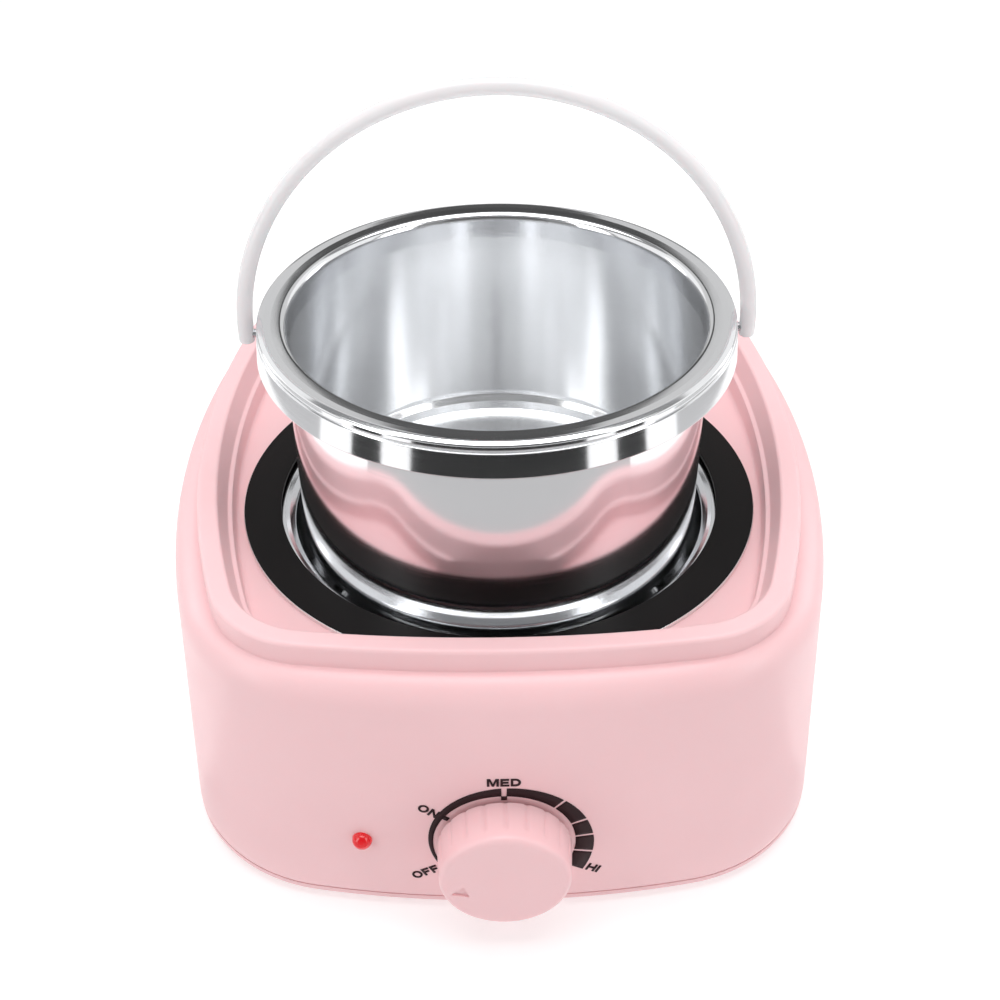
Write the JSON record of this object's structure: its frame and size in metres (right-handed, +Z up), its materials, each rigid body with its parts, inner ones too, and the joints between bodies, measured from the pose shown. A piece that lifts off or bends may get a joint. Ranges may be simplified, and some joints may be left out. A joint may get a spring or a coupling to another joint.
{
  "type": "wax warmer pot",
  "caption": "Tabletop wax warmer: D-shaped plastic housing with heated well, lift-out aluminium pot with folding bail handle, temperature knob, dial ring and pilot lamp.",
  "frame": {"origin": "centre of the bounding box at the level of the feet's undersides", "axes": "+Z up; -Y is the front, with the knob and pilot lamp; +X is to the right seen from the front"},
  "size_m": [0.2162, 0.2436, 0.2236],
  "materials": {
    "housing_plastic": "satin",
    "base_plastic": "satin",
    "knob_plastic": "satin",
    "bail_plastic": "glossy",
    "dial_ink": "printed",
    "black_coating": "satin black",
    "aluminium": "polished",
    "steel": "plated",
    "brass": "plain",
    "rubber": "matt",
    "black_plastic": "matt",
    "white_plastic": "matt",
    "ceramic": "matt",
    "mica": "matt",
    "glass_fibre": "woven",
    "red_lens": "clear tinted",
    "neon_glass": "clear",
    "wire_brown": "matt",
    "wire_red": "matt",
    "wire_blue": "matt",
    "wire_green": "matt"
  },
  "bodies": {
    "housing": {"housing": "housing_plastic", "base_plate": "base_plastic", "rubber_feet": "rubber", "base_screws": "steel", "deck_ring": "black_coating", "heating_well": "aluminium", "well_retainer": "steel", "retainer_screws": "steel", "heater_band": "mica", "heater_clamp_bolt": "steel", "insulation_blanket": "glass_fibre", "thermal_fuse": "ceramic", "fuse_clip": "steel", "thermostat_body": "ceramic", "thermostat_bracket": "steel", "bushing_nut": "steel", "dial_ring": "dial_ink", "indicator_lens": "red_lens", "indicator_lamp": "neon_glass", "indicator_collar": "black_plastic", "cord_gland": "rubber", "terminal_block": "white_plastic", "terminal_screws": "steel", "earth_stud": "steel", "earth_nut": "steel", "earth_tag": "brass", "wire_live": "wire_brown", "wire_load": "wire_red", "wire_neutral": "wire_blue", "wire_earth": "wire_green"},
    "pot": {"wax_pot": "aluminium", "pot_rim": "aluminium", "bail_pins": "steel"},
    "bail": {"bail_handle": "bail_plastic"},
    "knob": {"thermostat_shaft": "steel", "control_knob": "knob_plastic", "knob_clip": "steel"}
  },
  "joints": [
    {"name": "pot_lift", "type": "slide", "parent": "housing", "child": "pot", "axis": [0, 0, 1], "range_m": [-0.0559, 0.045]},
    {"name": "bail_swing", "type": "hinge", "parent": "pot", "child": "bail", "pos_m": [0, -0.01076, 0.147], "axis": [1, 0, 0], "range_deg": [-90, 90]},
    {"name": "knob_turn", "type": "hinge", "parent": "housing", "child": "knob", "pos_m": [0, -0.12176, 0.0307], "axis": [0, 1, 0], "range_deg": [0, 226]}
  ]
}
